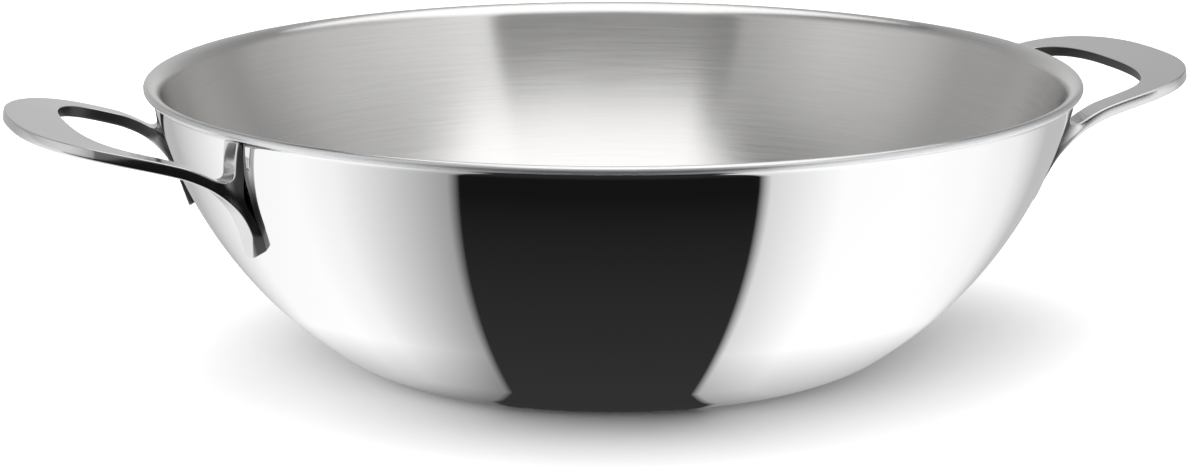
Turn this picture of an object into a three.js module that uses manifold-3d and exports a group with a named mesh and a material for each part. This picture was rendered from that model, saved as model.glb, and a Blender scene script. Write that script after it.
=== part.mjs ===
// Wok in clad stainless steel: a flared bowl of three bonded layers, with two cast loop handles
// whose Y-shaped feet are resistance-welded to the wall.
// Millimetres, +Z up. The origin is the middle of the flat underside, and the handles lie along X.

import * as THREE from 'three';
import { mergeVertices } from 'three/addons/utils/BufferGeometryUtils.js';
import Module from 'manifold-3d';

const wasm = await Module();
wasm.setup();

const { degToRad, lerp, smoothstep } = THREE.MathUtils;

// Bowl, measured on its outer surface
const rimRadius = 160;
const bowlHeight = 98;
const baseRadius = 75;
const cornerRadius = 40;
const cornerTurn = degToRad(34);
const lipRadius = 3;
const lipAngle = degToRad(14);

// Layers of the clad sheet, from the outside in
const outerSkinThickness = 0.6;
const coreThickness = 1.4;
const innerSkinThickness = 0.6;
const bondLine = 0.1;

// Handle loop, seen from above
const handleReach = 48;
const loopHalfWidth = 48;
const shoulderReach = 10;
const loopSquareness = 2.5;
const tipWidth = 18.8;
const tipFullness = 1.4;
const legWidth = 10.2;

// Handle loop, seen from the side
const tipDrop = 2.8;
const tipSlope = 0.086;
const archRadius = 200;
const tipThickness = 3.7;
const legThickness = 4;
const strapEdgeRadius = 1.1;
const strapEdgeShare = 0.45;

// Handle feet, each with a lower arm in line with the leg and an upper arm that forks off it
const footHalfSpacing = 48.5;
const footThickness = 3;
const bendLength = 15;
const lowerArmWidth = 7.4;
const lowerArmEndWidth = 5.4;
const lowerArmEndThickness = 4.6;
const lowerArmDrop = 43;
const lowerArmLean = 5;
const tongueTurn = degToRad(75);
const forkDrop = 24;
const upperArmWidth = 7;
const upperArmDrop = 5.5;
const upperArmSplay = 9;
const seatGap = 0.3;

// Resistance welds between the feet and the wall
const weldRadius = 1.8;
const weldHeight = 1.3;
const upperWeldBelowLip = 3;
const lowerWeldDrop = 36;

// Fineness of the curved surfaces
const roundSegments = 48;
const cornerSteps = 3;
const wallSteps = 5;
const lipSteps = 4;
const rimSteps = 2;
const loopSteps = 9;
const legSteps = 2;
const bendSteps = 5;
const armSteps = 3;
const tongueSteps = 3;
const edgeSteps = 2;
const weldSegments = 12;
const mergeTolerance = 1e-4;

// The rim's edge is round. The wall is the one arc that is tangent to the base's corner and to the lip,
// which is rolled outward.
const sheetThickness = outerSkinThickness + coreThickness + innerSkinThickness + 2 * bondLine;
const edgeRadius = sheetThickness / 2;
const edgeCentre = new THREE.Vector2(rimRadius - edgeRadius, bowlHeight - edgeRadius);
const cornerCentre = new THREE.Vector2(baseRadius, cornerRadius);
const lipCentre = edgeCentre.clone().addScaledVector(outwardAt(lipAngle), edgeRadius + lipRadius);
const cornerEnd = cornerCentre.clone().addScaledVector(outwardAt(cornerTurn), cornerRadius);
const wallRadius = tangentRadius(cornerEnd, outwardAt(cornerTurn).negate(), lipCentre, lipRadius);
const wallCentre = cornerEnd.clone().addScaledVector(outwardAt(cornerTurn), -wallRadius);
const wallTopAngle = climbTowards(wallCentre, lipCentre);
const wallTopHeight = wallCentre.y - wallRadius * Math.cos(wallTopAngle);

// Outward normal, in radius and height, of a sheet that climbs at this angle from level.
function outwardAt(angle) {
  return new THREE.Vector2(Math.sin(angle), -Math.cos(angle));
}

// Angle of climb at which a sheet's outward normal points from one place to another.
function climbTowards(from, to) {
  return Math.atan2(to.y - from.y, to.x - from.x) + Math.PI / 2;
}

// Radius of a circle that leaves start along its normal and touches another circle from outside.
function tangentRadius(start, normal, otherCentre, otherRadius) {
  const between = start.clone().sub(otherCentre);
  return (between.lengthSq() - otherRadius ** 2) / (2 * (otherRadius - between.dot(normal)));
}

// Points of the sheet's outer surface on one arc. A lip that turns outward has a negative radius.
function arcStations(centre, radius, fromAngle, toAngle, steps) {
  const stations = [];
  for (let step = 1; step <= steps; step++) {
    const angle = lerp(fromAngle, toAngle, step / steps);
    stations.push({ point: centre.clone().addScaledVector(outwardAt(angle), radius), angle });
  }
  return stations;
}

// The sheet's outer surface from the axis to the rim, as points with their angle of climb.
function bowlStations() {
  return [
    { point: new THREE.Vector2(0, 0), angle: 0 },
    { point: new THREE.Vector2(baseRadius, 0), angle: 0 },
    ...arcStations(cornerCentre, cornerRadius, 0, cornerTurn, cornerSteps),
    ...arcStations(wallCentre, wallRadius, cornerTurn, wallTopAngle, wallSteps),
    ...arcStations(lipCentre, -lipRadius, wallTopAngle, lipAngle, lipSteps),
  ];
}

// The bowl's outer surface moved into the sheet by a depth.
function surfaceAtDepth(depth) {
  return bowlStations().map(({ point, angle }) => point.addScaledVector(outwardAt(angle), -depth));
}

// Turns closed geometry into a solid whose faces point out.
function toSolid(geometry) {
  const bare = geometry.clone();
  bare.deleteAttribute('normal');
  bare.deleteAttribute('uv');
  const merged = mergeVertices(bare, mergeTolerance);
  const triangles = [];
  for (let i = 0; i < merged.index.count; i += 3) {
    const [a, b, c] = [0, 1, 2].map((corner) => merged.index.getX(i + corner));
    if (a !== b && b !== c && c !== a) triangles.push(a, b, c);
  }
  const vertProperties = new Float32Array(merged.attributes.position.array);
  const triVerts = new Uint32Array(triangles);
  const solid = new wasm.Manifold(new wasm.Mesh({ numProp: 3, vertProperties, triVerts }));
  if (solid.volume() > 0) return solid;
  triVerts.reverse();
  return new wasm.Manifold(new wasm.Mesh({ numProp: 3, vertProperties, triVerts }));
}

function toGeometry(solid) {
  const mesh = solid.getMesh();
  const geometry = new THREE.BufferGeometry();
  geometry.setAttribute('position', new THREE.BufferAttribute(new Float32Array(mesh.vertProperties), 3));
  geometry.setIndex(new THREE.BufferAttribute(new Uint32Array(mesh.triVerts), 1));
  geometry.computeVertexNormals();
  return geometry;
}

// A solid of revolution about Z from points of radius and height.
function revolve(profile) {
  return toSolid(new THREE.LatheGeometry(profile, roundSegments).rotateX(Math.PI / 2));
}

// The part of the rim's round edge between two depths of the sheet.
function rimEdge(fromDepth, toDepth) {
  const [start, end] = [fromDepth, toDepth].map((depth) => Math.acos(Math.max(1 - depth / edgeRadius, -1)));
  return Array.from({ length: rimSteps + 1 }, (_, step) => {
    const turn = lipAngle + lerp(start, end, step / rimSteps);
    return edgeCentre.clone().addScaledVector(outwardAt(turn), edgeRadius);
  });
}

// One layer of the clad sheet, between two depths below the outer surface.
function sheetLayer(fromDepth, toDepth) {
  const outside = surfaceAtDepth(fromDepth).slice(0, -1);
  const inside = surfaceAtDepth(toDepth).slice(0, -1).reverse();
  return revolve([...outside, ...rimEdge(fromDepth, toDepth), ...inside]);
}

// The space that the bowl takes up, grown by the seat's gap and open to above the rim.
function bowlSpace() {
  const skin = surfaceAtDepth(-seatGap);
  const side = rimRadius + seatGap;
  const top = bowlHeight + handleReach;
  const corners = [[side, skin.at(-1).y], [side, top], [0, top]];
  return revolve([...skin, ...corners.map(([radius, height]) => new THREE.Vector2(radius, height))]);
}

// Radius and climb of the wall's arc at a height, carried straight on past the lip.
function wallAt(height) {
  const angle = Math.acos((wallCentre.y - height) / wallRadius);
  return { radius: wallCentre.x + wallRadius * Math.sin(angle), angle };
}

// A point that stands off the wall's arc by a distance, at a height and a place across the handle.
function offWall(height, side, distance) {
  const { radius, angle } = wallAt(height);
  const reach = radius + distance * Math.sin(angle);
  return new THREE.Vector3(Math.sqrt(reach ** 2 - side ** 2), side, height - distance * Math.cos(angle));
}

// Outward normal of the wall's arc at a height and a place across the handle.
function wallNormal(height, side) {
  const { radius, angle } = wallAt(height);
  const turn = Math.asin(side / radius);
  const level = Math.sin(angle);
  return new THREE.Vector3(level * Math.cos(turn), level * Math.sin(turn), -Math.cos(angle));
}

// Level direction along the wall at a height and a place across the handle.
function wallTangent(height, side) {
  const turn = Math.asin(side / wallAt(height).radius);
  return new THREE.Vector3(-Math.sin(turn), Math.cos(turn), 0);
}

// Height and slope of the handle's top face at a distance from the bowl's axis.
const tipReach = rimRadius + handleReach;

function topFace(reach) {
  const fromTip = tipReach - reach;
  const slope = tipSlope + fromTip / archRadius;
  const height = bowlHeight - tipDrop - tipSlope * fromTip - fromTip ** 2 / (2 * archRadius);
  return { height, slope };
}

// The loop from the middle of its tip to its shoulder: a quarter of a superellipse seen from above.
function loopStations() {
  const shoulder = rimRadius + shoulderReach;
  const depth = tipReach - tipWidth / 2 - shoulder;
  const power = 2 / loopSquareness;
  const stations = [];
  for (let step = 0; step <= loopSteps; step++) {
    const turn = (step / loopSteps) * Math.PI / 2;
    const [out, side] = [Math.cos(turn), Math.sin(turn)].map((part) => Math.max(part, 0) ** power);
    const share = Math.cos(turn) ** tipFullness;
    const thickness = lerp(legThickness, tipThickness, share);
    const reach = shoulder + depth * out;
    const { height, slope } = topFace(reach);
    const facingOut = out ** (loopSquareness - 1) / depth;
    const facingSide = side ** (loopSquareness - 1) / loopHalfWidth;
    stations.push({
      point: new THREE.Vector3(reach, loopHalfWidth * side, height - thickness / 2),
      across: new THREE.Vector3(facingOut, facingSide, facingOut * slope).normalize(),
      width: lerp(legWidth, tipWidth, share),
      thickness,
    });
  }
  return stations;
}

// How deep the foot's blank reaches into the wall's place before its back is cut to the wall.
const footSink = footThickness / 2;
const footCentre = (footThickness - footSink) / 2;

// A point on the leg's straight centreline at a distance from the bowl's axis.
function legPoint(reach) {
  return new THREE.Vector3(reach, loopHalfWidth, topFace(reach).height - legThickness / 2);
}

// The place where the straight leg would run into the foot's centreline.
function cornerOfLeg() {
  let [inside, outside] = [baseRadius, rimRadius + shoulderReach];
  while (outside - inside > mergeTolerance) {
    const middle = (inside + outside) / 2;
    const point = legPoint(middle);
    if (point.x > offWall(point.z, footHalfSpacing, footCentre).x) outside = middle;
    else inside = middle;
  }
  return legPoint(outside).setY(footHalfSpacing);
}

const corner = cornerOfLeg();
const bendEndHeight = corner.z - bendLength;
const lowerArmEnd = bowlHeight - lowerArmDrop;
const forkHeight = bowlHeight - forkDrop;
const upperArmEnd = bowlHeight - upperArmDrop;

// How far across the handle the lower arm and the upper arm lie at a height.
function lowerArmSide(height) {
  return footHalfSpacing - (lowerArmLean * (bendEndHeight - height)) / (bendEndHeight - lowerArmEnd);
}

function upperArmSide(height) {
  return footHalfSpacing + (upperArmSplay * (height - forkHeight)) / (upperArmEnd - forkHeight);
}

// The leg from the shoulder and round the bend onto the wall, turning its face to the wall.
function legStations() {
  const level = new THREE.Vector3(0, 1, 0);
  const onWall = wallTangent(bendEndHeight, footHalfSpacing);
  const bendStart = legPoint(corner.x + bendLength);
  const bendEnd = offWall(bendEndHeight, footHalfSpacing, footCentre);
  const bend = new THREE.QuadraticBezierCurve3(bendStart, corner, bendEnd);
  const stations = [];
  for (let step = 1; step < legSteps; step++) {
    const point = legPoint(lerp(rimRadius + shoulderReach, bendStart.x, step / legSteps));
    stations.push({ point, across: level, width: legWidth, thickness: legThickness });
  }
  for (let step = 0; step <= bendSteps; step++) {
    const share = smoothstep(step / bendSteps, 0, 1);
    stations.push({
      point: bend.getPoint(step / bendSteps),
      across: level.clone().lerp(onWall, share).normalize(),
      width: lerp(legWidth, lowerArmWidth, share),
      thickness: lerp(legThickness, footThickness + footSink, share),
    });
  }
  return stations;
}

// A station of an arm that lies on the wall and stands proud of it.
function armStation(height, side, width, proud) {
  return {
    point: offWall(height, side, (proud - footSink) / 2),
    facing: wallNormal(height, side),
    width,
    thickness: proud + footSink,
  };
}

// The foot's lower arm, from the bend down the wall. It narrows and thickens towards its rounded end.
function lowerArmStations() {
  const tongueTop = lowerArmEnd + lowerArmEndWidth / 2;
  const stations = [];
  for (let step = 1; step <= armSteps; step++) {
    const share = step / armSteps;
    const height = lerp(bendEndHeight, tongueTop, share);
    const width = lerp(lowerArmWidth, lowerArmEndWidth, share);
    const proud = lerp(footThickness, lowerArmEndThickness, share);
    stations.push(armStation(height, lowerArmSide(height), width, proud));
  }
  for (let step = 1; step <= tongueSteps; step++) {
    const turn = (step / tongueSteps) * tongueTurn;
    const height = tongueTop - (lowerArmEndWidth / 2) * Math.sin(turn);
    const width = lowerArmEndWidth * Math.cos(turn);
    stations.push(armStation(height, lowerArmSide(height), width, lowerArmEndThickness));
  }
  return stations;
}

// The foot's upper arm, which climbs the wall from the fork to just under the lip.
function upperArmStations() {
  const stations = [];
  for (let step = 0; step <= armSteps; step++) {
    const height = lerp(forkHeight, upperArmEnd, step / armSteps);
    stations.push(armStation(height, upperArmSide(height), upperArmWidth, footThickness));
  }
  return stations;
}

// Direction of a row of stations at one of them.
function directionAt(stations, place) {
  const before = stations[Math.max(place - 1, 0)].point;
  const after = stations[Math.min(place + 1, stations.length - 1)].point;
  return after.clone().sub(before).normalize();
}

// Corner points of a flat strap's section, with rounded edges, as offsets across it and through it.
function strapSection(width, thickness) {
  const edge = Math.min(strapEdgeRadius, strapEdgeShare * width, strapEdgeShare * thickness);
  const [across, through] = [width / 2 - edge, thickness / 2 - edge];
  const middles = [[across, through], [-across, through], [-across, -through], [across, -through]];
  return middles.flatMap(([x, y], side) => Array.from({ length: edgeSteps + 1 }, (_, step) => {
    const turn = (side + step / edgeSteps) * Math.PI / 2;
    return new THREE.Vector2(x + edge * Math.cos(turn), y + edge * Math.sin(turn));
  }));
}

// A solid strap through a row of stations. Each station gives its across or its facing direction.
function loft(stations) {
  const positions = [];
  stations.forEach(({ point, across, facing, width, thickness }, place) => {
    const direction = directionAt(stations, place);
    const sideways = across ?? facing.clone().cross(direction).normalize();
    const through = sideways.clone().cross(direction).normalize();
    strapSection(width, thickness).forEach(({ x, y }) => {
      positions.push(...point.clone().addScaledVector(sideways, x).addScaledVector(through, y).toArray());
    });
  });
  const round = 4 * (edgeSteps + 1);
  const last = (stations.length - 1) * round;
  const index = [];
  for (let ring = 0; ring < last; ring += round) {
    for (let i = 0; i < round; i++) {
      const next = (i + 1) % round;
      index.push(ring + i, ring + next, ring + round + i, ring + next, ring + round + next, ring + round + i);
    }
  }
  for (let i = 1; i < round - 1; i++) {
    index.push(0, i + 1, i, last, last + i, last + i + 1);
  }
  const geometry = new THREE.BufferGeometry();
  geometry.setAttribute('position', new THREE.Float32BufferAttribute(positions, 3));
  geometry.setIndex(index);
  return toSolid(geometry);
}

// The same station on the handle's other side.
function mirrored(station) {
  const flip = new THREE.Vector3(1, -1, 1);
  const twin = { ...station, point: station.point.clone().multiply(flip) };
  if (station.across) twin.across = station.across.clone().multiply(flip);
  if (station.facing) twin.facing = station.facing.clone().multiply(flip);
  return twin;
}

// A round pin that stands on the wall, from inside it to a height above it.
function wallPin(radius, rise, { height, side }) {
  const pin = new THREE.CylinderGeometry(radius, radius, 2 * rise, weldSegments);
  const upright = new THREE.Vector3(0, 1, 0);
  pin.applyQuaternion(new THREE.Quaternion().setFromUnitVectors(upright, wallNormal(height, side)));
  return toSolid(pin.translate(...offWall(height, side, 0).toArray()));
}

// Each foot is welded through its upper arm and its lower arm.
const upperWeldHeight = wallTopHeight - upperWeldBelowLip;
const lowerWeldHeight = bowlHeight - lowerWeldDrop;
const weldPlaces = [
  { name: 'rear_upper', height: upperWeldHeight, side: upperArmSide(upperWeldHeight) },
  { name: 'rear_lower', height: lowerWeldHeight, side: lowerArmSide(lowerWeldHeight) },
  { name: 'front_upper', height: upperWeldHeight, side: -upperArmSide(upperWeldHeight) },
  { name: 'front_lower', height: lowerWeldHeight, side: -lowerArmSide(lowerWeldHeight) },
];

// The cast handle: the loop with its legs, the upper arms, the backs cut to the wall, the weld pockets.
function handleSolid(space) {
  const half = [...loopStations(), ...legStations(), ...lowerArmStations()];
  const strap = loft([...half.slice(1).reverse().map(mirrored), ...half]);
  const arm = upperArmStations();
  const casting = strap.add(loft(arm)).add(loft(arm.map(mirrored))).subtract(space);
  return weldPlaces.reduce(
    (solid, place) => solid.subtract(wallPin(weldRadius + seatGap, weldHeight + seatGap, place)),
    casting,
  );
}

function weldSolid(space, place) {
  return wallPin(weldRadius, weldHeight, place).subtract(space);
}

const mirrorSteel = new THREE.MeshStandardMaterial({ color: 0xd8d9da, roughness: 0.06, metalness: 1 });
const coreAluminium = new THREE.MeshStandardMaterial({ color: 0xcfd0d1, roughness: 0.45, metalness: 1 });
const satinSteel = new THREE.MeshStandardMaterial({ color: 0xb6b5b1, roughness: 0.36, metalness: 1 });
const castSteel = new THREE.MeshStandardMaterial({ color: 0xbcbcbb, roughness: 0.28, metalness: 1 });
const weldSteel = new THREE.MeshStandardMaterial({ color: 0x8f8e8b, roughness: 0.6, metalness: 1 });

function piece(name, solid, material) {
  const mesh = new THREE.Mesh(toGeometry(solid), material);
  mesh.name = name;
  return mesh;
}

// A handle with its welds, at +X. A half turn about the bowl's axis makes the left one.
function handleGroup(prefix, space) {
  const group = new THREE.Group();
  group.add(piece(`${prefix}_handle`, handleSolid(space), castSteel));
  weldPlaces.forEach((place) => {
    group.add(piece(`${prefix}_${place.name}_weld`, weldSolid(space, place), weldSteel));
  });
  return group;
}

const coreDepth = outerSkinThickness + bondLine;
const innerSkinDepth = coreDepth + coreThickness + bondLine;
const space = bowlSpace();
const rightHandle = handleGroup('right', space);
const leftHandle = handleGroup('left', space);
leftHandle.rotation.z = Math.PI;

const wok = new THREE.Group();
wok.add(
  piece('outer_skin', sheetLayer(0, outerSkinThickness), mirrorSteel),
  piece('core_layer', sheetLayer(coreDepth, coreDepth + coreThickness), coreAluminium),
  piece('inner_skin', sheetLayer(innerSkinDepth, innerSkinDepth + innerSkinThickness), satinSteel),
  rightHandle,
  leftHandle,
);

export default wok;
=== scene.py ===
"""Clad stainless wok on a white studio sweep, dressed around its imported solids.

The bowl's three layers are spun from one profile, the two handles are modelled from an extruded strap, and
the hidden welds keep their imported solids. Lengths are in millimetres until a mesh or a node takes them.
"""

import logging
import math
from dataclasses import dataclass, field
from enum import Enum

import bmesh
import bpy
from mathutils import Matrix, Vector


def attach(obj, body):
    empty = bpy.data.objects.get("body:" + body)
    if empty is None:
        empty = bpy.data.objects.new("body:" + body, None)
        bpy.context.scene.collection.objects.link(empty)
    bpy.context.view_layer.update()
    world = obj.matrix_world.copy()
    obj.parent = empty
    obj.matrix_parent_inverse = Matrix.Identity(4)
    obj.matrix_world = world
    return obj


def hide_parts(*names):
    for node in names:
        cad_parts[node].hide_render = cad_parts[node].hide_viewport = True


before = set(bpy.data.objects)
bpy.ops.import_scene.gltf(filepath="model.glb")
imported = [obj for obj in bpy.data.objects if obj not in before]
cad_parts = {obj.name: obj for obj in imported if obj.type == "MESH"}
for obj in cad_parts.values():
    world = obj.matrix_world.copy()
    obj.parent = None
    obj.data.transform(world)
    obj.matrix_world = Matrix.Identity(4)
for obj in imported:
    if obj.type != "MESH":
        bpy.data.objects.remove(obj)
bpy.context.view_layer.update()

LOG = logging.getLogger("wok")
MM = 0.001
SPIN_MERGE = 0.001 * MM
MIRROR_MERGE = 0.01 * MM
SEARCH_TOLERANCE = 1e-4
GRAIN_DETAIL = 3.0
MARK_DETAIL = 2.0
MARK_CONTRAST = 0.6
ROOT = "root"

Colour = tuple[float, float, float, float]
Ends = tuple[float, float]
Levels = tuple[tuple[float, float], ...]
Place = tuple[float, float, float]
Ring = tuple[Vector, Vector, Vector, Vector]
Socket = bpy.types.NodeSocket
Tree = bpy.types.NodeTree


class Side(Enum):
    """The side of the bowl that a handle sits on, with its turn about the bowl's axis."""

    RIGHT = 0.0
    LEFT = math.pi

    @property
    def node(self) -> str:
        """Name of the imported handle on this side."""
        return f"{self.name.lower()}_handle"


def between(start: float, end: float, share: float) -> float:
    """The value at a share of the way from a start to an end."""
    return start + (end - start) * share


def ramp(value: float, start: float, end: float) -> float:
    """Share of the way from a start to an end, kept from 0 to 1."""
    return min(max((value - start) / (end - start), 0.0), 1.0)


def in_metres(ends: Ends) -> Ends:
    """A range of millimetres, in metres."""
    return ends[0] * MM, ends[1] * MM


def linear(hex_colour: str) -> Colour:
    """Turns an sRGB hex value into a linear colour, by the standard's curve.

    Args:
        hex_colour: Six hex digits with a leading hash sign.

    Returns:
        Linear red, green, blue and an alpha of 1.
    """
    channels = [int(hex_colour[place:place + 2], 16) / 255 for place in (1, 3, 5)]
    toned = [c / 12.92 if c <= 0.04045 else ((c + 0.055) / 1.055) ** 2.4 for c in channels]
    return (*toned, 1.0)


def add_node(tree: Tree, kind: str, settings: dict | None = None,
             inputs: dict | None = None) -> bpy.types.Node:
    """Adds one node with its settings and links.

    Args:
        tree: The node tree that gets the node.
        kind: The node's type, as Blender names it.
        settings: Properties of the node.
        inputs: Sockets by name or place, each with a value or with the socket that feeds it.

    Returns:
        The new node.
    """
    node = tree.nodes.new(kind)
    for key, value in (settings or {}).items():
        setattr(node, key, value)
    for key, value in (inputs or {}).items():
        if isinstance(value, Socket):
            tree.links.new(value, node.inputs[key])
        else:
            node.inputs[key].default_value = value
    return node


def new_material(name: str) -> tuple[bpy.types.Material, Tree]:
    """Makes an empty node material.

    Args:
        name: The material's name.

    Returns:
        The material and its cleared node tree.
    """
    material = bpy.data.materials.new(name)
    material.use_nodes = True
    material.node_tree.nodes.clear()
    return material, material.node_tree


def end_tree(tree: Tree, kind: str, inputs: dict) -> None:
    """Ends a material's tree with its last shader.

    Args:
        tree: The material's node tree.
        kind: The shader's type, as Blender names it.
        inputs: Its sockets, each with a value or with the socket that feeds it.
    """
    shader = add_node(tree, kind, inputs=inputs)
    add_node(tree, "ShaderNodeOutputMaterial", inputs={"Surface": shader.outputs[0]})


def remap(tree: Tree, value: Socket, target: tuple[float | Socket, float | Socket],
          source: Ends = (0.0, 1.0)) -> Socket:
    """Adds a value that is carried over from one range to another and kept inside it.

    Args:
        tree: The node tree.
        value: The value's socket.
        target: The new range, each end a number or a socket.
        source: The old range.

    Returns:
        The new value's socket.
    """
    return add_node(tree, "ShaderNodeMapRange", inputs={
        "Value": value, "From Min": source[0], "From Max": source[1],
        "To Min": target[0], "To Max": target[1]}).outputs[0]


def combine(tree: Tree, operation: str, first: Socket, second: float | Socket) -> Socket:
    """Adds the result of an operation on two values."""
    return add_node(tree, "ShaderNodeMath", {"operation": operation}, {0: first, 1: second}).outputs[0]


def blend(tree: Tree, share: Socket, first: Colour | Socket, second: Colour | Socket) -> Socket:
    """Adds a mix of two colours by a share."""
    mixed = add_node(tree, "ShaderNodeMix", {"data_type": "RGBA"}, {"Factor": share, "A": first, "B": second})
    return mixed.outputs["Result"]


def relief(tree: Tree, height: Socket, depth: float) -> Socket:
    """Adds the normal of a relief whose depth is in millimetres."""
    return add_node(tree, "ShaderNodeBump", inputs={
        "Height": height, "Distance": depth * MM, "Strength": 1.0}).outputs[0]


def object_place(tree: Tree) -> Socket:
    """Adds the place on the piece, in metres."""
    return add_node(tree, "ShaderNodeTexCoord").outputs["Object"]


def level_place(tree: Tree) -> Socket:
    """Adds the place on the piece with its height left out, in metres."""
    return add_node(tree, "ShaderNodeVectorMath", {"operation": "MULTIPLY"}, {
        0: object_place(tree), 1: (1.0, 1.0, 0.0)}).outputs[0]


def height_above_floor(tree: Tree) -> Socket:
    """Adds the height above the floor, in metres."""
    return add_node(tree, "ShaderNodeSeparateXYZ", inputs={0: object_place(tree)}).outputs["Z"]


def radius_from_axis(tree: Tree) -> Socket:
    """Adds the distance from the bowl's axis, in metres."""
    length = add_node(tree, "ShaderNodeVectorMath", {"operation": "LENGTH"}, {0: level_place(tree)})
    return length.outputs["Value"]


def fine_grain(tree: Tree, size: float) -> Socket:
    """Adds an even noise, from 0 to 1, whose grains have a size in millimetres."""
    return add_node(tree, "ShaderNodeTexNoise", inputs={
        "Vector": object_place(tree), "Scale": 1 / (size * MM), "Detail": GRAIN_DETAIL}).outputs[0]


def round_marks(tree: Tree, spacing: float, length: float) -> Socket:
    """Adds a pattern of fine marks that run round the bowl's axis.

    Args:
        tree: The material's node tree.
        spacing: Distance between marks along the wall, in millimetres.
        length: Length of a mark round the bowl, in millimetres.

    Returns:
        The pattern's value socket, from 0 to 1.
    """
    along_wall = combine(tree, "ADD", radius_from_axis(tree), height_above_floor(tree))
    across = combine(tree, "DIVIDE", along_wall, spacing * MM)
    lifted = add_node(tree, "ShaderNodeCombineXYZ", inputs={"Z": across})
    stretched = add_node(tree, "ShaderNodeVectorMath", {"operation": "SCALE"}, {
        0: level_place(tree), "Scale": 1 / (length * MM)})
    vector = add_node(tree, "ShaderNodeVectorMath", {"operation": "ADD"}, {
        0: stretched.outputs[0], 1: lifted.outputs[0]})
    return add_node(tree, "ShaderNodeTexNoise", inputs={
        "Vector": vector.outputs[0], "Scale": 1.0, "Detail": MARK_DETAIL,
        "Roughness": MARK_CONTRAST}).outputs[0]


def deselect_all() -> None:
    """Leaves every object unselected."""
    bpy.ops.object.select_all(action="DESELECT")


def start_plane(name: str, size: float) -> bpy.types.Object:
    """Adds a named plane whose size is in millimetres."""
    deselect_all()
    bpy.ops.mesh.primitive_plane_add(size=size * MM)
    bpy.context.object.name = name
    return bpy.context.object


def finish_piece(piece: bpy.types.Object, material: bpy.types.Material, node: str) -> None:
    """Dresses a modelled piece and ties it to the frame.

    Args:
        piece: The finished object.
        material: Its finish.
        node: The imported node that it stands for.
    """
    piece.data.materials.append(material)
    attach(piece, ROOT)
    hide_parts(node)
    LOG.info("%s: %d faces, stands for %s", piece.name, len(piece.data.polygons), node)


def apply_modifier(piece: bpy.types.Object, kind: str, **settings: object) -> None:
    """Adds a modifier to the active piece and applies it.

    Args:
        piece: The active object.
        kind: The modifier's type.
        settings: The modifier's properties.
    """
    modifier = piece.modifiers.new(kind.lower(), kind)
    for key, value in settings.items():
        setattr(modifier, key, value)
    bpy.ops.object.modifier_apply(modifier=modifier.name)


@dataclass(frozen=True)
class MirrorSteel:
    """Mirror-polished stainless steel: buffed under faint round marks, and ground dull on the rim's edge."""

    rim_radius: float
    name: str = "mirror_polished_stainless"
    colour: str = "#EDEDEE"
    least_roughness: float = 0.015
    most_roughness: float = 0.05
    ground_roughness: float = 0.5
    ground_scatter: float = 0.05
    ground_depth: float = 1.2
    mark_spacing: float = 1.2
    mark_length: float = 60.0
    mark_depth: float = 0.0006

    def build(self) -> bpy.types.Material:
        """Makes the material."""
        material, tree = new_material(self.name)
        marks = round_marks(tree, self.mark_spacing, self.mark_length)
        buffed = remap(tree, marks, (self.least_roughness, self.most_roughness))
        edge = in_metres((self.rim_radius - self.ground_depth, self.rim_radius - self.ground_depth / 2))
        ground = remap(tree, radius_from_axis(tree), (0.0, 1.0), edge)
        end_tree(tree, "ShaderNodeBsdfPrincipled", {
            "Base Color": linear(self.colour),
            "Metallic": remap(tree, ground, (1.0, 1 - self.ground_scatter)),
            "Roughness": remap(tree, ground, (buffed, self.ground_roughness)),
            "Normal": relief(tree, marks, self.mark_depth)})
        return material


@dataclass(frozen=True)
class SatinSteel:
    """Stainless steel brushed round the bowl: reflections smear up and down across the fine round lines."""

    name: str = "satin_brushed_stainless"
    dark_colour: str = "#D4D3D2"
    light_colour: str = "#E1E0DF"
    roughness: float = 0.2
    roughness_spread: float = 0.03
    anisotropy: float = 1.0
    smear_turn: float = 0.25
    line_spacing: float = 0.9
    line_length: float = 35.0
    line_depth: float = 0.004

    def build(self) -> bpy.types.Material:
        """Makes the material."""
        material, tree = new_material(self.name)
        lines = round_marks(tree, self.line_spacing, self.line_length)
        tangent = add_node(tree, "ShaderNodeTangent", {"direction_type": "RADIAL", "axis": "Z"})
        spread = self.roughness_spread
        end_tree(tree, "ShaderNodeBsdfPrincipled", {
            "Base Color": blend(tree, lines, linear(self.dark_colour), linear(self.light_colour)),
            "Metallic": 1.0,
            "Roughness": remap(tree, lines, (self.roughness - spread, self.roughness + spread)),
            "Anisotropic": self.anisotropy,
            "Anisotropic Rotation": self.smear_turn,
            "Normal": relief(tree, lines, self.line_depth),
            "Tangent": tangent.outputs[0]})
        return material


@dataclass(frozen=True)
class GrainyMetal:
    """A metal with an even grain, such as a rolled sheet or a weld."""

    name: str
    dark_colour: str
    light_colour: str
    roughness: float
    roughness_spread: float
    grain: float
    grain_depth: float
    scatter: float = 0.0

    def build(self) -> bpy.types.Material:
        """Makes the material."""
        material, tree = new_material(self.name)
        grain = fine_grain(tree, self.grain)
        spread = self.roughness_spread
        end_tree(tree, "ShaderNodeBsdfPrincipled", {
            "Base Color": blend(tree, grain, linear(self.dark_colour), linear(self.light_colour)),
            "Metallic": 1 - self.scatter,
            "Roughness": remap(tree, grain, (self.roughness - spread, self.roughness + spread)),
            "Normal": relief(tree, grain, self.grain_depth)})
        return material


# Rolled aluminium, bare only at the rim's rounded edge, where grinding has dulled it.
ROLLED_ALUMINIUM = GrainyMetal(
    "rolled_aluminium", dark_colour="#D2D3D5", light_colour="#DEDFE0", roughness=0.32, roughness_spread=0.05,
    grain=0.6, grain_depth=0.002, scatter=0.06)

# Weld metal, dull and hidden under the feet.
WELD_METAL = GrainyMetal(
    "weld_metal", dark_colour="#8C8A86", light_colour="#A3A19D", roughness=0.5, roughness_spread=0.1,
    grain=0.8, grain_depth=0.02)


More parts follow.
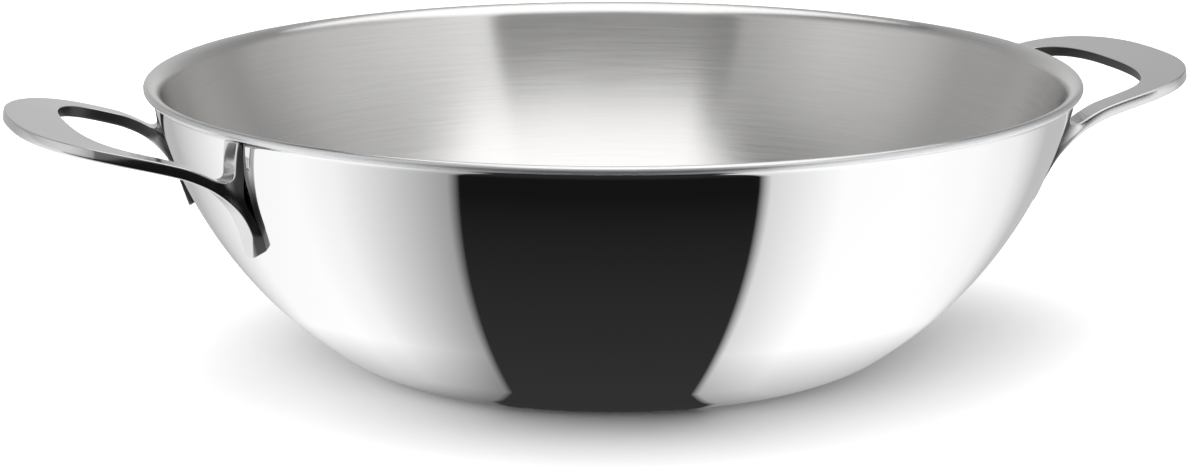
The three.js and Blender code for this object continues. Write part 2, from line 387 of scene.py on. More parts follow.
@dataclass(frozen=True)
class CastSteel:
    """Cast stainless steel: polished on a belt, and dulled by blasting where no belt reaches, where a dark
    painted shade also darkens the colour.
    """

    name: str = "belt_polished_cast_stainless"
    mask: str = "blasted_with_painted_shade"
    polished_colour: str = "#D6D6D6"
    painted_shade_colour: str = "#4C4C4C"
    polished_roughness: float = 0.12
    blasted_roughness: float = 0.35
    roughness_spread: float = 0.03
    grain: float = 0.5
    grain_depth: float = 0.002

    def build(self) -> bpy.types.Material:
        """Makes the material."""
        material, tree = new_material(self.name)
        # The mask dulls the roughness and paints a dark shade into the colour: on the loop's inner sides and
        # on the feet's sides by the wall.
        mask = add_node(tree, "ShaderNodeAttribute", {"attribute_name": self.mask}).outputs["Fac"]
        grain = fine_grain(tree, self.grain)
        even = remap(tree, mask, (self.polished_roughness, self.blasted_roughness))
        uneven = remap(tree, grain, (-self.roughness_spread, self.roughness_spread))
        end_tree(tree, "ShaderNodeBsdfPrincipled", {
            "Base Color": blend(tree, mask, linear(self.polished_colour), linear(self.painted_shade_colour)),
            "Metallic": 1.0,
            "Roughness": combine(tree, "ADD", even, uneven),
            "Normal": relief(tree, grain, self.grain_depth)})
        return material


@dataclass
class BowlSheet:
    """The bowl's clad sheet: a flat base, a corner arc, a wall arc and a lip arc, all tangent.

    Positions in the profile are radius and height. An angle is the sheet's climb from level.
    """

    rim_radius: float = 160.0
    height: float = 98.0
    base_radius: float = 75.0
    corner_radius: float = 40.0
    corner_turn: float = math.radians(34)
    lip_radius: float = 3.0
    lip_angle: float = math.radians(14)
    thickness: float = 2.8
    base_steps: int = 4
    corner_steps: int = 14
    wall_steps: int = 32
    lip_steps: int = 12
    edge_steps: int = 8
    round_steps: int = 240
    sharp_angle: float = math.radians(35)
    edge_centre: Vector = field(init=False)
    corner_centre: Vector = field(init=False)
    wall_centre: Vector = field(init=False)
    lip_centre: Vector = field(init=False)
    wall_radius: float = field(init=False)
    wall_top: float = field(init=False)

    def __post_init__(self) -> None:
        """Works out the wall's arc, which touches the corner's arc and the lip's arc."""
        half = self.thickness / 2
        self.edge_centre = Vector((self.rim_radius - half, self.height - half))
        self.corner_centre = Vector((self.base_radius, self.corner_radius))
        self.lip_centre = self.edge_centre + self.outward(self.lip_angle) * (half + self.lip_radius)
        normal = self.outward(self.corner_turn)
        corner_end = self.corner_centre + normal * self.corner_radius
        to_corner = corner_end - self.lip_centre
        self.wall_radius = ((to_corner.length_squared - self.lip_radius ** 2)
                            / (2 * (self.lip_radius + to_corner.dot(normal))))
        self.wall_centre = corner_end - normal * self.wall_radius
        toward_lip = self.lip_centre - self.wall_centre
        self.wall_top = math.atan2(toward_lip.y, toward_lip.x) + math.pi / 2

    @staticmethod
    def outward(angle: float) -> Vector:
        """Outward normal of the sheet where it climbs at an angle."""
        return Vector((math.sin(angle), -math.cos(angle)))

    def stations(self) -> list[tuple[Vector, float]]:
        """Points of the outer surface from the axis to the lip's end, each with its climb."""
        arcs = (
            (self.corner_centre, self.corner_radius, 0.0, self.corner_turn, self.corner_steps),
            (self.wall_centre, self.wall_radius, self.corner_turn, self.wall_top, self.wall_steps),
            (self.lip_centre, -self.lip_radius, self.wall_top, self.lip_angle, self.lip_steps),
        )
        stations = [(Vector((self.base_radius * step / self.base_steps, 0.0)), 0.0)
                    for step in range(self.base_steps + 1)]
        for centre, radius, start, end, steps in arcs:
            for step in range(1, steps + 1):
                angle = between(start, end, step / steps)
                stations.append((centre + self.outward(angle) * radius, angle))
        return stations

    def surface(self, depth: float) -> list[Vector]:
        """The outer surface moved into the sheet by a depth, from the axis to the lip's end."""
        return [point - self.outward(angle) * depth for point, angle in self.stations()]

    def rim_edge(self, outer_depth: float, inner_depth: float) -> list[Vector]:
        """The part of the rim's round edge between two depths of the sheet."""
        half = self.thickness / 2
        start, end = (math.acos(1 - depth / half) for depth in (outer_depth, inner_depth))
        turns = [between(start, end, step / self.edge_steps) for step in range(self.edge_steps + 1)]
        return [self.edge_centre + self.outward(self.lip_angle + turn) * half for turn in turns]

    def layer(self, outer_depth: float, inner_depth: float) -> list[Vector]:
        """The closed profile of one layer, from the axis out along its outside and back inside."""
        edge = self.rim_edge(outer_depth, inner_depth)
        return self.surface(outer_depth)[:-1] + edge + self.surface(inner_depth)[-2::-1]

    def wall_at(self, height: float) -> tuple[float, float]:
        """Radius and climb of the wall's arc at a height, carried on past the lip."""
        angle = math.acos((self.wall_centre.y - height) / self.wall_radius)
        return self.wall_centre.x + self.wall_radius * math.sin(angle), angle

    def surface_radius(self, height: float) -> float:
        """Radius of the outer surface at a height, with the lip."""
        lip_start = self.wall_centre.y - self.wall_radius * math.cos(self.wall_top)
        if height < lip_start:
            return self.wall_at(height)[0]
        return self.lip_centre.x - math.sqrt(self.lip_radius ** 2 - (height - self.lip_centre.y) ** 2)

    def off_wall(self, height: float, side: float, distance: float) -> Vector:
        """A point that stands off the wall's arc.

        Args:
            height: Height of the point of the wall.
            side: Place across the handle.
            distance: Distance from the wall along its normal.

        Returns:
            The point in millimetres.
        """
        radius, angle = self.wall_at(height)
        reach = radius + distance * math.sin(angle)
        return Vector((math.sqrt(reach ** 2 - side ** 2), side, height - distance * math.cos(angle)))

    def level_gap(self, point: Vector) -> float:
        """Level distance from the outer surface to a point, taken at the lip's end for a higher point."""
        height = min(point.z, self.edge_centre.y - self.thickness / 2)
        return math.hypot(point.x, point.y) - self.surface_radius(height)

    def clear_of_wall(self, point: Vector, gap: float) -> Vector:
        """The point itself, or the nearest place level with it that clears the outer surface by a gap."""
        missing = gap - self.level_gap(point)
        if missing <= 0:
            return point
        growth = 1 + missing / math.hypot(point.x, point.y)
        return Vector((point.x * growth, point.y * growth, point.z))

    def spin(self, name: str, profile: list[Vector]) -> bpy.types.Object:
        """Traces a profile point by point and spins it round the bowl's axis.

        Args:
            name: The piece's name.
            profile: Points of radius and height, starting and ending on the axis.

        Returns:
            The closed, smooth piece.
        """
        piece = start_plane(name, self.rim_radius)
        bpy.ops.object.mode_set(mode="EDIT")
        bpy.ops.mesh.select_all(action="SELECT")
        bpy.ops.mesh.merge(type="CENTER")
        places = [Vector((max(point.x, 0.0), 0.0, point.y)) * MM for point in profile]
        bpy.ops.transform.translate(value=places[0])
        for here, there in zip(places, places[1:]):
            bpy.ops.mesh.extrude_vertices_move(TRANSFORM_OT_translate={"value": there - here})
        bpy.ops.mesh.select_all(action="SELECT")
        bpy.ops.mesh.spin(steps=self.round_steps, angle=2 * math.pi, center=(0, 0, 0), axis=(0, 0, 1))
        bpy.ops.mesh.select_all(action="SELECT")
        bpy.ops.mesh.remove_doubles(threshold=SPIN_MERGE)
        bpy.ops.mesh.normals_make_consistent(inside=False)
        bpy.ops.object.mode_set(mode="OBJECT")
        bpy.ops.object.shade_smooth_by_angle(angle=self.sharp_angle)
        return piece


@dataclass
class CladBowl:
    """The bowl's three bonded layers."""

    sheet: BowlSheet
    skin: float = 0.6
    bond_line: float = 0.02

    def build(self) -> None:
        """Spins, dresses and places the layers."""
        below = self.skin + self.bond_line
        through = self.sheet.thickness
        layers = (
            ("mirror_outer_skin", "outer_skin", "mirror_steel", 0.0, self.skin,
             MirrorSteel(self.sheet.rim_radius)),
            ("aluminium_core", "core_layer", "core_aluminium", below, through - below, ROLLED_ALUMINIUM),
            ("satin_inner_skin", "inner_skin", "satin_steel", through - self.skin, through, SatinSteel()),
        )
        for name, node, slot, outer_depth, inner_depth, finish in layers:
            piece = self.sheet.spin(name, self.sheet.layer(outer_depth, inner_depth))
            finish_piece(piece, finish.build(), node)


class Cage:
    """A mesh in edit mode that grows ring by ring from a plane."""

    def __init__(self, mesh: bpy.types.Mesh) -> None:
        """Opens the mesh and adds its rounding and crease layers."""
        self.mesh = mesh
        self.ring: Ring | None = None
        edit = bmesh.from_edit_mesh(mesh)
        edit.edges.layers.float.new("bevel_weight_edge")
        edit.edges.layers.float.new("crease_edge")
        bmesh.update_edit_mesh(mesh)

    def start(self, ring: Ring) -> None:
        """Moves the plane's corners onto the first ring."""
        edit = bmesh.from_edit_mesh(self.mesh)
        edit.faces.ensure_lookup_table()
        for corner, place in zip(edit.faces[0].verts, ring):
            corner.co = place * MM
        edit.select_flush(True)
        bmesh.update_edit_mesh(self.mesh)
        self.ring = ring

    def choose(self, ring: Ring) -> None:
        """Selects the one face whose corners are those of a ring."""
        bpy.ops.mesh.select_all(action="DESELECT")
        edit = bmesh.from_edit_mesh(self.mesh)
        middle = sum(ring, Vector((0.0, 0.0, 0.0))) / len(ring) * MM
        face = min(edit.faces, key=lambda f: (f.calc_center_median() - middle).length)
        face.select_set(True)
        bevel = edit.edges.layers.float["bevel_weight_edge"]
        for edge in face.edges:
            edge[bevel] = 0.0
        bmesh.update_edit_mesh(self.mesh)
        self.ring = ring

    def extrude(self, ring: Ring, rounded: tuple[float, float, float, float]) -> None:
        """Extrudes the selected face and moves its corners onto the next ring.

        Args:
            ring: The next ring's corners.
            rounded: Share of the largest rounding that each corner's new edge gets, 0 where it stays sharp.
        """
        bpy.ops.mesh.extrude_region_move()
        edit = bmesh.from_edit_mesh(self.mesh)
        bevel = edit.edges.layers.float["bevel_weight_edge"]
        crease = edit.edges.layers.float["crease_edge"]
        corners = [vertex for vertex in edit.verts if vertex.select]
        for corner in corners:
            place = min(range(len(ring)), key=lambda k: (corner.co - self.ring[k] * MM).length)
            edge = next(e for e in corner.link_edges if not e.other_vert(corner).select)
            edge[bevel] = rounded[place]
            edge[crease] = 0.0 if rounded[place] else 1.0
            corner.co = ring[place] * MM
        bmesh.update_edit_mesh(self.mesh)
        self.ring = ring

    def open_start(self, ring: Ring) -> None:
        """Deletes the first face, where the other half joins on."""
        self.choose(ring)
        bpy.ops.mesh.delete(type="ONLY_FACE")


@dataclass
class Station:
    """One section of the handle's strap: its middle, the direction of its width, and its size."""

    point: Vector
    across: Vector
    width: float
    thickness: float


@dataclass
class LoopHandle:
    """A cast loop handle whose legs bend down onto the wall and fork into an upper and a lower arm.

    It is modelled at +X, half of it first. A section's first two corners are on its upper face, which
    becomes the face against the wall where the leg has bent down. The ranges of facing are shares of a
    normal over which the blast-dulled finish and its dark painted shade come in: into the loop, away from
    straight up and along the wall.
    """

    sheet: BowlSheet
    reach: float = 48.0
    loop_half_width: float = 48.0
    shoulder_reach: float = 10.0
    loop_squareness: float = 2.5
    tip_width: float = 18.8
    tip_fullness: float = 1.4
    leg_width: float = 10.2
    tip_drop: float = 2.8
    tip_slope: float = 0.086
    arch_radius: float = 200.0
    tip_thickness: float = 3.7
    leg_thickness: float = 4.0
    top_edge_radius: float = 0.7
    belly_edge_radius: float = 1.3
    foot_half_spacing: float = 48.5
    foot_thickness: float = 3.0
    foot_reach: float = 7.0
    bend_length: float = 15.0
    lower_arm_width: float = 8.6
    lower_arm_end_width: float = 5.0
    lower_arm_end_thickness: float = 4.4
    lower_arm_drop: float = 43.0
    lower_arm_lean: float = 5.0
    fork_drop: float = 24.0
    upper_arm_width: float = 7.4
    upper_arm_end_thickness: float = 1.6
    upper_arm_drop: float = 3.0
    upper_arm_splay: float = 9.0
    arm_draft: float = 0.2
    arm_edge_radius: float = 1.1
    arm_end_rounding: float = 0.9
    seat_gap: float = 0.05
    inner_facing: Ends = (0.1, 0.4)
    upward_facing: Ends = (0.5, 0.3)
    sideways_facing: Ends = (0.45, 0.7)
    loop_steps: int = 18
    leg_steps: int = 3
    bend_shares: tuple[float, ...] = (0.0, 0.2, 0.38, 0.62, 0.8, 1.0)
    fork_share: float = 0.38
    arm_steps: int = 5
    edge_segments: int = 3
    smooth_levels: int = 2
    sharp_angle: float = math.radians(40)

    def top_face(self, reach: float) -> tuple[float, float]:
        """Height and slope of the top face at a distance from the bowl's axis."""
        from_tip = self.sheet.rim_radius + self.reach - reach
        slope = self.tip_slope + from_tip / self.arch_radius
        drop = self.tip_drop + self.tip_slope * from_tip + from_tip ** 2 / (2 * self.arch_radius)
        return self.sheet.height - drop, slope

    def loop_stations(self) -> list[Station]:
        """Sections from the middle of the tip to the shoulder, on a quarter of a superellipse."""
        shoulder = self.sheet.rim_radius + self.shoulder_reach
        depth = self.sheet.rim_radius + self.reach - self.tip_width / 2 - shoulder
        power = 2 / self.loop_squareness
        stations = []
        for step in range(self.loop_steps + 1):
            turn = step / self.loop_steps * math.pi / 2
            out = max(math.cos(turn), 0.0) ** power
            side = math.sin(turn) ** power
            share = max(math.cos(turn), 0.0) ** self.tip_fullness
            thickness = between(self.leg_thickness, self.tip_thickness, share)
            reach = shoulder + depth * out
            height, slope = self.top_face(reach)
            facing_out = out ** (self.loop_squareness - 1) / depth
            facing_side = side ** (self.loop_squareness - 1) / self.loop_half_width
            stations.append(Station(
                Vector((reach, self.loop_half_width * side, height - thickness / 2)),
                Vector((facing_out, facing_side, facing_out * slope)).normalized(),
                between(self.leg_width, self.tip_width, share),
                thickness))
        return stations

    def leg_point(self, reach: float) -> Vector:
        """A point of the leg's straight centreline."""
        return Vector((reach, self.loop_half_width, self.top_face(reach)[0] - self.leg_thickness / 2))

    def leg_corner(self) -> Vector:
        """The place where the straight leg would run into the foot's centreline."""
        inside, outside = self.sheet.base_radius, self.sheet.rim_radius + self.shoulder_reach
        while outside - inside > SEARCH_TOLERANCE:
            middle = (inside + outside) / 2
            point = self.leg_point(middle)
            if point.x > self.sheet.off_wall(point.z, self.foot_half_spacing, self.foot_thickness / 2).x:
                outside = middle
            else:
                inside = middle
        corner = self.leg_point(outside)
        return Vector((corner.x, self.foot_half_spacing, corner.z))

    def leg_stations(self, corner: Vector) -> list[Station]:
        """Sections along the leg and round its bend, turning to face the wall."""
        level = Vector((0.0, 1.0, 0.0))
        shoulder = self.sheet.rim_radius + self.shoulder_reach
        start = self.leg_point(corner.x + self.bend_length)
        end_height = corner.z - self.bend_length
        end = self.sheet.off_wall(end_height, self.foot_half_spacing, self.foot_thickness / 2)
        turn = math.asin(self.foot_half_spacing / self.sheet.wall_at(end_height)[0])
        on_wall = Vector((-math.sin(turn), math.cos(turn), 0.0))
        stations = []
        for step in range(1, self.leg_steps):
            point = self.leg_point(between(shoulder, start.x, step / self.leg_steps))
            stations.append(Station(point, level, self.leg_width, self.leg_thickness))
        for share in self.bend_shares:
            point = start * (1 - share) ** 2 + corner * 2 * share * (1 - share) + end * share ** 2
            eased = share * share * (3 - 2 * share)
            stations.append(Station(
                self.leaned(point),
                level.lerp(on_wall, eased).normalized(),
                between(self.leg_width, self.lower_arm_width, eased),
                between(self.leg_thickness, self.foot_thickness, eased)))
        return stations

    def lean(self, height: float) -> float:
        """How far the foot has leaned towards the loop's middle at a height below the fork."""
        fork = self.sheet.height - self.fork_drop
        bottom = self.sheet.height - self.lower_arm_drop
        return self.lower_arm_lean * ramp(height, fork, bottom) ** 2

    def leaned(self, point: Vector) -> Vector:
        """A point moved round the bowl's axis by the foot's lean."""
        side = point.y - self.lean(point.z)
        return Vector((math.sqrt(point.x ** 2 + point.y ** 2 - side ** 2), side, point.z))

    def rings(self, stations: list[Station]) -> list[Ring]:
        """Corners of the sections: upper outer, upper inner, lower inner and lower outer."""
        rings = []
        for place, station in enumerate(stations):
            before = stations[max(place - 1, 0)].point
            after = stations[min(place + 1, len(stations) - 1)].point
            direction = (after - before).normalized()
            through = station.across.cross(direction).normalized()
            half_width = station.across * station.width / 2
            half_thickness = through * station.thickness / 2
            upper, lower = station.point + half_thickness, station.point - half_thickness
            rings.append((
                self.sheet.clear_of_wall(upper + half_width, self.seat_gap),
                self.sheet.clear_of_wall(upper - half_width, self.seat_gap),
                lower - half_width,
                lower + half_width))
        return rings

    def arm_ring(self, height: float, side: float, width: float, proud: float) -> Ring:
        """Corners of an arm's section: two on the wall, then two that stand proud, the outer one drawn in."""
        near, far = side - width / 2, side + width / 2
        return (
            self.sheet.clear_of_wall(self.sheet.off_wall(height, far, self.seat_gap), self.seat_gap),
            self.sheet.clear_of_wall(self.sheet.off_wall(height, near, self.seat_gap), self.seat_gap),
            self.sheet.off_wall(height, near, proud),
            self.sheet.off_wall(height, far - self.arm_draft * proud, proud))

    def arm_places(self, start: float, end: float) -> list[tuple[float, float]]:
        """Heights of an arm's sections with their shares of its length, two close together at its end."""
        last = end - math.copysign(self.arm_end_rounding, end - start)
        heights = [between(start, last, step / self.arm_steps) for step in range(1, self.arm_steps + 1)]
        return [(height, (height - start) / (end - start)) for height in (*heights, end)]

    def lower_arm_rings(self, top: float) -> list[Ring]:
        """Sections of the lower arm, which leans, narrows and thickens towards its end."""
        rings = []
        for height, share in self.arm_places(top, self.sheet.height - self.lower_arm_drop):
            side = self.foot_half_spacing - self.lean(height)
            width = between(self.lower_arm_width, self.lower_arm_end_width, share)
            proud = between(self.foot_thickness, self.lower_arm_end_thickness, share)
            rings.append(self.arm_ring(height, side, width, proud))
        return rings

    def upper_arm_rings(self, start: float) -> list[Ring]:
        """Sections of the upper arm, which climbs from the fork and thins to its end under the lip."""
        fork = self.sheet.height - self.fork_drop
        top = self.sheet.height - self.upper_arm_drop
        rings = []
        for height, share in self.arm_places(start, top):
            side = self.foot_half_spacing + self.upper_arm_splay * (height - fork) / (top - fork)
            proud = between(self.foot_thickness, self.upper_arm_end_thickness, share)
            rings.append(self.arm_ring(height, side, self.upper_arm_width, proud))
        return rings

    def grow(self, cage: Cage) -> None:
        """Grows half of the handle: the strap down to the lower arm's end, then the upper arm."""
        corner = self.leg_corner()
        strap = self.rings(self.loop_stations() + self.leg_stations(corner))
        fork = len(strap) - len(self.bend_shares) + self.bend_shares.index(self.fork_share)
        crisp = self.top_edge_radius / self.belly_edge_radius
        soft = self.arm_edge_radius / self.belly_edge_radius
        cage.start(strap[0])
        for ring in strap[1:fork + 2]:
            cage.extrude(ring, rounded=(crisp, crisp, 1, 1))
        for ring in strap[fork + 2:] + self.lower_arm_rings(corner.z - self.bend_length):
            cage.extrude(ring, rounded=(0, 0, soft, soft))
        cage.open_start(strap[0])
        (a0, a1, _, _), (b0, b1, _, _) = strap[fork], strap[fork + 1]
        cage.choose((b0, b1, a1, a0))
        for ring in self.upper_arm_rings(max(a0.z, a1.z)):
            cage.extrude(ring, rounded=(0, 0, soft, soft))

    def model(self, name: str) -> bpy.types.Object:
        """Models one handle at +X.

        Args:
            name: The piece's name.

        Returns:
            The closed, smooth handle.
        """
        piece = start_plane(name, self.tip_width)
        bpy.ops.object.mode_set(mode="EDIT")
        self.grow(Cage(bpy.context.edit_object.data))
        bpy.ops.object.mode_set(mode="OBJECT")
        apply_modifier(piece, "MIRROR", use_axis=(False, True, False), use_clip=True,
                       merge_threshold=MIRROR_MERGE)
        apply_modifier(piece, "BEVEL", limit_method="WEIGHT", width=self.belly_edge_radius * MM,
                       segments=self.edge_segments)
        apply_modifier(piece, "SUBSURF", levels=self.smooth_levels, render_levels=self.smooth_levels)
        bpy.ops.object.mode_set(mode="EDIT")
        bpy.ops.mesh.select_all(action="SELECT")
        bpy.ops.mesh.normals_make_consistent(inside=False)
        bpy.ops.object.mode_set(mode="OBJECT")
        bpy.ops.object.shade_smooth_by_angle(angle=self.sharp_angle)
        # Marks the faces that get the blast-dulled roughness and the dark painted shade: the loop's inner
        # sides and the feet's sides by the wall.
        mask = piece.data.attributes.new(CastSteel.mask, "FLOAT", "POINT")
        for vertex, share in zip(piece.data.vertices, mask.data):
            share.value = max(self.inside_loop(vertex), self.beside_foot(vertex))
        return piece

    def inside_loop(self, vertex: bpy.types.MeshVertex) -> float:
        """Share, from 0 to 1, to which a place lies on the loop's inner side."""
        place, normal = vertex.co / MM, vertex.normal
        inward = Vector((self.sheet.rim_radius + self.shoulder_reach - place.x, -place.y, 0.0)).normalized()
        above_fork = ramp(place.z - self.sheet.height + self.fork_drop, 0.0, self.leg_thickness)
        between_legs = ramp(self.loop_half_width - abs(place.y), 0.0, self.top_edge_radius)
        facing = ramp(normal.dot(inward), *self.inner_facing) * ramp(normal.z, *self.upward_facing)
        return above_fork * between_legs * facing

    def beside_foot(self, vertex: bpy.types.MeshVertex) -> float:
        """Share, from 0 to 1, to which a place lies on a foot's side, close to the wall."""
        place = vertex.co / MM
        close = ramp(self.sheet.level_gap(place), self.foot_reach, self.foot_thickness)
        along_wall = Vector((-place.y, place.x, 0.0)).normalized()
        return close * ramp(abs(vertex.normal.dot(along_wall)), *self.sideways_facing)

    def build(self) -> None:
        """Models the handle once, copies it to the other side and dresses both."""
        material = CastSteel().build()
        first = self.model("cast_right_handle")
        second = first.copy()
        second.data = first.data.copy()
        second.name = "cast_left_handle"
        bpy.context.scene.collection.objects.link(second)
        second.data.transform(Matrix.Rotation(Side.LEFT.value, 4, "Z"))
        for piece, side in ((first, Side.RIGHT), (second, Side.LEFT)):
            finish_piece(piece, material, side.node)


@dataclass
class Studio:
    """Floor, cards, world and camera.

    Places are given seen from the camera: x to its right, y away from it and z up, in millimetres from the
    middle of the wok's underside. A card's levels are pairs of a direction, in degrees from straight towards
    the camera and positive to its right, and the glow there.
    """

    turn: float = math.radians(19.059)
    camera_place: Place = (-4.471, -1240.845, 318.609)
    camera_target: Place = (-4.471, 0.0, 40.542)
    lens: float = 110.208
    sensor: float = 36.0
    tent_level: float = 0.16
    floor_size: float = 12000.0
    floor_colour: str = "#F4F4F4"
    dome_radius: float = 2500.0
    dome_subdivisions: int = 3
    dome_level: float = 3.0
    dome_start: Ends = (0.6, 0.8)
    fill_level: float = 3.0
    fill_azimuth: float = math.radians(-38)
    fill_spread: Ends = (0.3, 0.95)
    unlit_level: float = 0.2
    softbox_place: Place = (220.0, -200.0, 1500.0)
    softbox_size: Ends = (1820.0, 2500.0)
    softbox_level: float = 1.55
    ring_radius: float = 1500.0
    ring_top: float = math.radians(48)
    ring_sides: int = 96
    ring_foot_levels: Levels = (
        (-180, 0.75), (-155, 0.6), (-136, 0.44), (-113, 0.52), (-95, 0.81), (-80, 0.92), (-66, 0.94),
        (-53, 0.78), (-41, 0.55), (-37.4, 0.54), (-37, 0.18), (35, 0.18), (35.4, 1.22), (49, 1.11),
        (61, 1.06), (74, 0.96), (89, 0.88), (105, 0.7), (126, 0.35), (150, 0.42), (180, 0.75))
    ring_top_levels: Levels = (
        (-180, 0.4), (-136, 0.32), (-113, 0.36), (-95, 0.46), (-66, 0.53), (-41, 0.48), (-37.4, 0.46),
        (-37, 0.36), (35, 0.36), (35.4, 0.76), (49, 0.7), (74, 0.53), (105, 0.4), (126, 0.3), (180, 0.4))
    floor_card_size: float = 3000.0
    floor_card_lift: float = 0.3
    floor_card_levels: Levels = (
        (-180, 0.42), (-130, 0.43), (-100, 0.9), (-75, 0.96), (-63, 0.87), (-34.2, 0.31), (-33.2, 0.0),
        (33.2, 0.0), (34.2, 0.66), (52, 0.98), (70, 1.0), (90, 0.95), (106, 0.84), (122, 0.48), (180, 0.42))
    fan_apex: Place = (-5.0, -44.0, 0.0)
    fan_flare: Ends = (89.0, 97.0)
    fan_flare_share: float = 0.76
    fan_end: Ends = (260.0, 340.0)
    contact_shade: Ends = (83.0, 118.0)
    contact_levels: Ends = (0.3, 1.17)
    haze: Ends = (100.0, 250.0)
    haze_levels: Ends = (0.034, 0.008)

    def place(self, x: float, y: float, z: float) -> Vector:
        """A place in the frame, in metres."""
        return Matrix.Rotation(-self.turn, 3, "Z") @ Vector((x, y, z)) * MM

    def build(self) -> None:
        """Builds the whole studio."""
        self.build_world()
        self.build_floor()
        self.build_softbox()
        self.build_ring()
        self.build_floor_card()
        self.build_dome()
        self.build_camera()

    def build_world(self) -> None:
        """A white backdrop for the camera, and an even grey tent for light and reflections."""
        world = bpy.data.worlds.new("studio")
        world.use_nodes = True
        tree = world.node_tree
        tree.nodes.clear()
        white = (1.0, 1.0, 1.0, 1.0)
        path = add_node(tree, "ShaderNodeLightPath")
        tent = add_node(tree, "ShaderNodeBackground", inputs={"Color": white, "Strength": self.tent_level})
        backdrop = add_node(tree, "ShaderNodeBackground", inputs={"Color": white, "Strength": 1.0})
        mixed = add_node(tree, "ShaderNodeMixShader", inputs={
            0: path.outputs["Is Camera Ray"], 1: tent.outputs[0], 2: backdrop.outputs[0]})
        add_node(tree, "ShaderNodeOutputWorld", inputs={"Surface": mixed.outputs[0]})
        bpy.context.scene.world = world

    def build_floor(self) -> None:
        """A sweep of white paper that keeps the wok's shadow."""
        floor = self.card("floor", (0.0, 0.0, 0.0), (self.floor_size, self.floor_size))
        material, tree = new_material("white_sweep")
        end_tree(tree, "ShaderNodeBsdfDiffuse", {"Color": linear(self.floor_colour)})
        floor.data.materials.append(material)

    def card(self, name: str, centre: Place, size: Ends) -> bpy.types.Object:
        """Adds a level studio card.

        Args:
            name: The card's name.
            centre: Its middle.
            size: Its width and length.

        Returns:
            The card.
        """
        card = start_plane(name, 1 / MM)
        turned = Matrix.Rotation(-self.turn, 4, "Z") @ Matrix.Translation(Vector(centre) * MM)
        card.data.transform(turned @ Matrix.Diagonal((size[0] * MM, size[1] * MM, 1.0, 1.0)))
        return card

    @staticmethod
    def glow(card: bpy.types.Object, material: bpy.types.Material, unlit: str = "diffuse") -> None:
        """Lets a card glow out of sight: for reflections alone, or for dull surfaces if unlit is glossy."""
        card.data.materials.append(material)
        for kind in ("camera", "shadow", unlit):
            setattr(card, f"visible_{kind}", False)

    def build_softbox(self) -> None:
        """An evenly lit cloth overhead."""
        softbox = self.card("softbox", self.softbox_place, self.softbox_size)
        material, tree = new_material("softbox_cloth")
        end_tree(tree, "ShaderNodeEmission", {"Strength": self.softbox_level})
        self.glow(softbox, material)

    def azimuth(self, tree: Tree, centre: Vector) -> tuple[Socket, Socket]:
        """Adds the direction in which a place is seen from a centre.

        Args:
            tree: The material's node tree.
            centre: The place to measure from, in the frame.

        Returns:
            The angle in radians from straight towards the camera, positive to its right, and the distance
            from the centre towards the camera.
        """
        seen = add_node(tree, "ShaderNodeMapping", {"vector_type": "TEXTURE"}, {
            "Vector": object_place(tree), "Location": centre, "Rotation": (0.0, 0.0, -self.turn)})
        parts = add_node(tree, "ShaderNodeSeparateXYZ", inputs={0: seen.outputs[0]})
        ahead = combine(tree, "MULTIPLY", parts.outputs["Y"], -1.0)
        return combine(tree, "ARCTAN2", parts.outputs["X"], ahead), ahead

    @staticmethod
    def grade(tree: Tree, angle: Socket, stops: Levels) -> Socket:
        """Adds levels of grey by direction.

        Args:
            tree: The material's node tree.
            angle: The direction in radians.
            stops: Directions in degrees from -180 to 180, each with its level.

        Returns:
            The level's socket.
        """
        share = remap(tree, angle, (0.0, 1.0), (-math.pi, math.pi))
        node = add_node(tree, "ShaderNodeValToRGB", inputs={0: share})
        elements = node.color_ramp.elements
        elements.remove(elements[1])
        for place, (degrees, level) in enumerate(stops):
            position = (degrees + 180) / 360
            element = elements[0] if place == 0 else elements.new(position)
            element.position = position
            element.color = (level, level, level, 1.0)
        return node.outputs[0]

    def build_ring(self) -> None:
        """A round wall of graded card, dark towards the camera."""
        height = self.ring_radius * math.tan(self.ring_top)
        deselect_all()
        bpy.ops.mesh.primitive_cylinder_add(vertices=self.ring_sides, radius=self.ring_radius * MM,
                                            depth=height * MM, end_fill_type="NOTHING")
        ring = bpy.context.object
        ring.name = "card_ring"
        ring.data.transform(Matrix.Translation((0.0, 0.0, height / 2 * MM)))
        material, tree = new_material("graded_ring_card")
        angle, _ = self.azimuth(tree, Vector((0.0, 0.0, 0.0)))
        rise = remap(tree, height_above_floor(tree), (0.0, 1.0), in_metres((0.0, height)))
        foot = self.grade(tree, angle, self.ring_foot_levels)
        top = self.grade(tree, angle, self.ring_top_levels)
        end_tree(tree, "ShaderNodeEmission", {"Color": blend(tree, rise, foot, top)})
        self.glow(ring, material)

    def build_floor_card(self) -> None:
        """A graded card on the floor: a dark fan in front, white at the sides and grey behind."""
        card = self.card("floor_card", (0.0, 0.0, self.floor_card_lift),
                         (self.floor_card_size, self.floor_card_size))
        material, tree = new_material("graded_floor_card")
        angle, ahead = self.azimuth(tree, self.place(*self.fan_apex))
        distance = radius_from_axis(tree)
        flare = remap(tree, distance, (self.fan_flare_share, 1.0), in_metres(self.fan_flare))
        colour = self.grade(tree, combine(tree, "MULTIPLY", angle, flare), self.floor_card_levels)
        contact = remap(tree, distance, self.contact_levels, in_metres(self.contact_shade))
        fading = remap(tree, ahead, (1.0, 0.0), in_metres(self.fan_end))
        level = combine(tree, "MULTIPLY", contact, fading)
        haze_level = remap(tree, distance, self.haze_levels, in_metres(self.haze))
        light = add_node(tree, "ShaderNodeEmission", inputs={"Color": colour, "Strength": level})
        haze = add_node(tree, "ShaderNodeEmission", inputs={"Strength": haze_level})
        end_tree(tree, "ShaderNodeAddShader", {0: light.outputs[0], 1: haze.outputs[0]})
        self.glow(card, material)

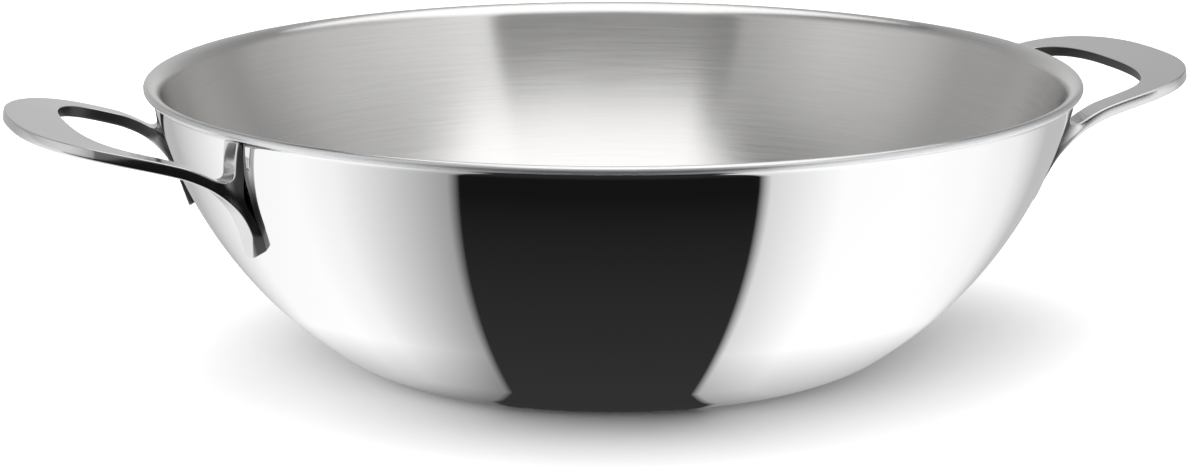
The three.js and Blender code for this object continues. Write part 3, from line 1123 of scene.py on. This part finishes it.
    def build_dome(self) -> None:
        """A light tent over the sweep, lit from above and low in front, that no reflection shows."""
        deselect_all()
        bpy.ops.mesh.primitive_ico_sphere_add(subdivisions=self.dome_subdivisions,
                                              radius=self.dome_radius * MM)
        dome = bpy.context.object
        dome.name = "light_tent"
        material, tree = new_material("tent_cloth")
        fill = self.place(math.sin(self.fill_azimuth), -math.cos(self.fill_azimuth), 0.0).normalized()
        direction = add_node(tree, "ShaderNodeVectorMath", {"operation": "NORMALIZE"}, {
            0: object_place(tree)}).outputs[0]
        facing = add_node(tree, "ShaderNodeVectorMath", {"operation": "DOT_PRODUCT"}, {0: direction, 1: fill})
        low = remap(tree, facing.outputs["Value"], (self.unlit_level, self.fill_level), self.fill_spread)
        parts = add_node(tree, "ShaderNodeSeparateXYZ", inputs={0: direction})
        level = remap(tree, parts.outputs["Z"], (low, self.dome_level), self.dome_start)
        end_tree(tree, "ShaderNodeEmission", {"Strength": level})
        self.glow(dome, material, unlit="glossy")

    def build_camera(self) -> None:
        """A long lens a little above the rim, turned so that the left handle comes forward."""
        data = bpy.data.cameras.new("camera")
        data.sensor_width = self.sensor
        data.lens = self.lens
        camera = bpy.data.objects.new("camera", data)
        bpy.context.scene.collection.objects.link(camera)
        place = self.place(*self.camera_place)
        aim = self.place(*self.camera_target) - place
        camera.location = place
        camera.rotation_euler = aim.to_track_quat("-Z", "Y").to_euler()
        bpy.context.scene.camera = camera


def dress_welds() -> None:
    """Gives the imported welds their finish."""
    material = WELD_METAL.build()
    for name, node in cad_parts.items():
        if name.endswith("_weld"):
            node.data.materials.clear()
            node.data.materials.append(material)
            LOG.info("%s: packed solid in %s", name, material.name)


def main() -> None:
    """Builds the wok and its studio in order."""
    logging.basicConfig(level=logging.INFO, format="%(name)s: %(message)s")
    bpy.context.scene.view_settings.view_transform = "Standard"
    sheet = BowlSheet()
    CladBowl(sheet).build()
    LoopHandle(sheet).build()
    dress_welds()
    Studio().build()


if __name__ == "__main__":
    main()
